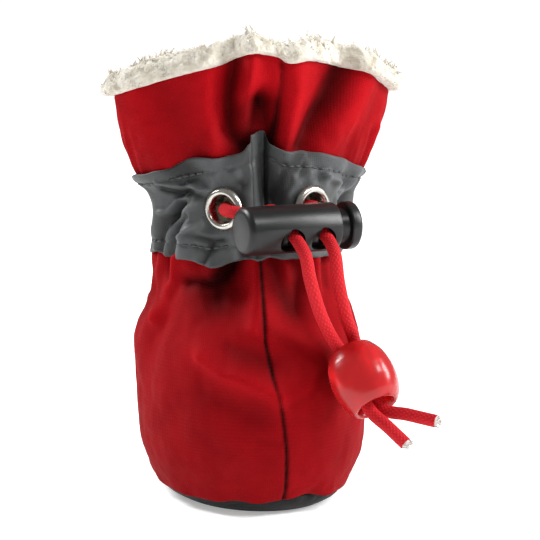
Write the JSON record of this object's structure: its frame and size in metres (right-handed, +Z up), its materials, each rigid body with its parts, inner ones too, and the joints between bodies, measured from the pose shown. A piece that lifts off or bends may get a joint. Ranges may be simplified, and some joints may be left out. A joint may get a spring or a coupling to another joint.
{
  "type": "dog shoe",
  "caption": "Small drawstring dog boot: padded red cloth upper with a fleece-lined collar, a grey reflective neck tape, a spring cord lock, a bead and a black rubber sole.",
  "frame": {"origin": "middle of the outsole's flat underside, on the surface that the shoe stands on", "axes": "+Z up through the leg, the toe points to -Y, +X is to the right seen from the front at azimuth 0"},
  "size_m": [0.0604, 0.0656, 0.0908],
  "materials": {
    "red_cloth": "woven matt",
    "grey_tape": "fine satin weave",
    "fleece": "deep curly pile",
    "black_rubber": "matt",
    "nickel": "polished nickel",
    "black_plastic": "satin",
    "spring_steel": "bright wire",
    "red_plastic": "gloss, slightly see-through",
    "red_cord": "fine braid"
  },
  "bodies": {
    "shoe": {"outsole": "black_rubber", "insole": "fleece", "upper": "red_cloth", "reflective_tape": "grey_tape", "fleece_collar": "fleece", "eyelet_left": "nickel", "eyelet_right": "nickel", "lock_barrel": "black_plastic", "lock_spring": "spring_steel", "cord_bead": "red_plastic", "drawcord_left": "red_cord", "drawcord_right": "red_cord"},
    "plunger": {"lock_plunger": "black_plastic"}
  },
  "joints": [
    {"name": "lock_button", "type": "slide", "parent": "shoe", "child": "plunger", "axis": [-0.9781, -0.2079, 0], "range_m": [0, 0.002], "stiffness_N_per_m": 400, "springref_m": -0.002, "deforming": ["lock_spring"]}
  ]
}
